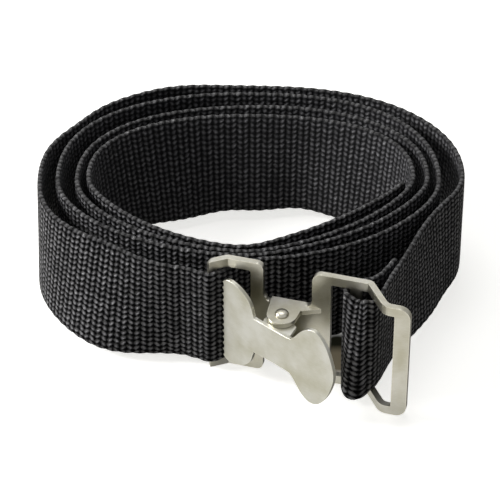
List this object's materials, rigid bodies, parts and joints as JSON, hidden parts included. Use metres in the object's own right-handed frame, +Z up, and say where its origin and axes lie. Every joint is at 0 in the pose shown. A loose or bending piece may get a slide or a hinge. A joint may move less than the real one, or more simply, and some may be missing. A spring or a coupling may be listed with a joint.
{
  "type": "dive weight belt",
  "caption": "Webbing weight belt wound in a flat oval coil and closed through a stamped steel cam buckle with a butterfly lever.",
  "frame": {"origin": "centre of the coil's plan outline, buckle included, on the plane the belt stands on", "axes": "+Z up across the webbing, +X to the right along the coil's long axis, buckle facing -Y"},
  "size_m": [0.193, 0.1876, 0.0584],
  "materials": {
    "webbing": "coarse woven nylon",
    "frame_steel": "satin",
    "lever_steel": "satin",
    "pin_steel": "satin"
  },
  "bodies": {
    "belt": {"webbing_strap": "webbing", "buckle_frame": "frame_steel", "pivot_pin": "pin_steel"},
    "lever": {"cam_lever": "lever_steel"}
  },
  "joints": [
    {"name": "lever_pivot", "type": "hinge", "parent": "belt", "child": "lever", "pos_m": [0.01288, -0.06449, 0.0292], "axis": [0, 0, 1], "range_deg": [0, 30]}
  ]
}
